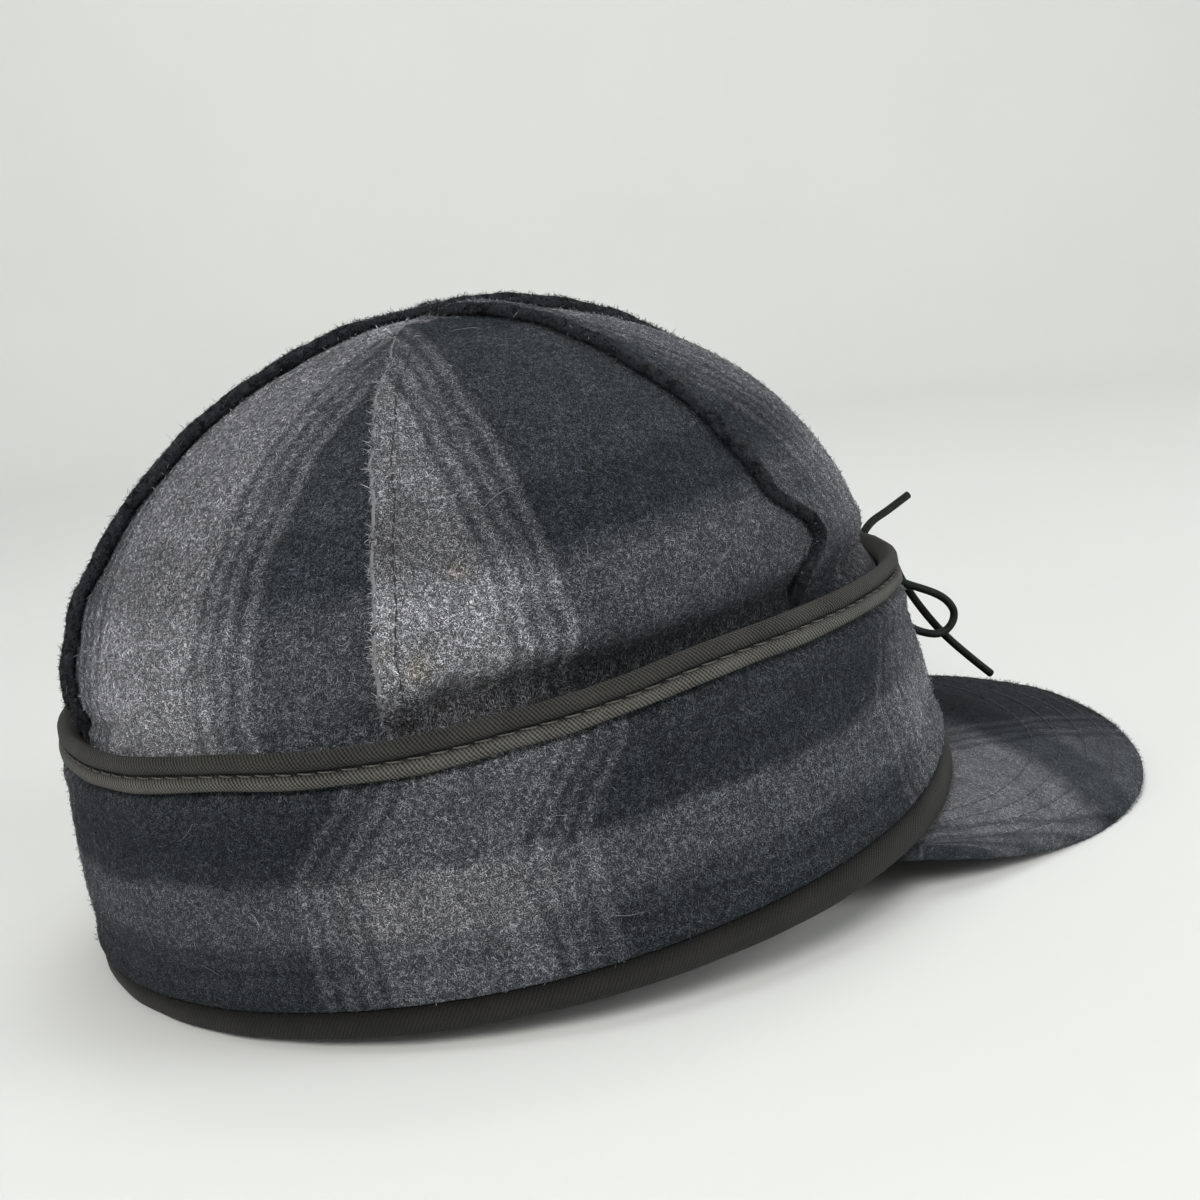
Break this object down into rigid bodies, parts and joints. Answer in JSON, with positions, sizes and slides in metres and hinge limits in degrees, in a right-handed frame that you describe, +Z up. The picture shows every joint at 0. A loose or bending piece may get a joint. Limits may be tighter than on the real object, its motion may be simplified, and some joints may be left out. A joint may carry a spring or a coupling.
{
  "type": "earflap cap",
  "caption": "Wool cap with a six-panel lapped crown, a turned-up earband tied with a cord bow at the front, and an arched bill.",
  "frame": {"origin": "on the surface that the cap rests on, under the centre of its footprint without the tie", "axes": "+Z up, the bill points to -Y, the wearer's right is -X; the cap is nose-up by about 5 degrees, as it stands by itself"},
  "size_m": [0.1966, 0.2746, 0.1401],
  "materials": {
    "wool_dark": "napped charcoal plaid wool",
    "wool_grey": "napped grey plaid wool",
    "twill_olive": "olive-grey cotton twill tape",
    "twill_charcoal": "charcoal cotton twill tape",
    "cord": "waxed black-green round cord"
  },
  "bodies": {
    "root": {"crown_panel_front_right": "wool_grey", "crown_panel_side_right": "wool_grey", "crown_panel_rear_right": "wool_dark", "crown_panel_rear_left": "wool_dark", "crown_panel_side_left": "wool_grey", "crown_panel_front_left": "wool_dark", "earband": "wool_dark", "earband_casing": "twill_olive", "earband_rim_binding": "twill_charcoal", "bill": "wool_grey", "tie_cord_right_lead": "cord", "tie_cord_right_loop": "cord", "tie_cord_right_end": "cord", "tie_cord_left_lead": "cord", "tie_cord_left_loop": "cord", "tie_cord_left_end": "cord", "tie_knot": "cord"}
  },
  "joints": []
}
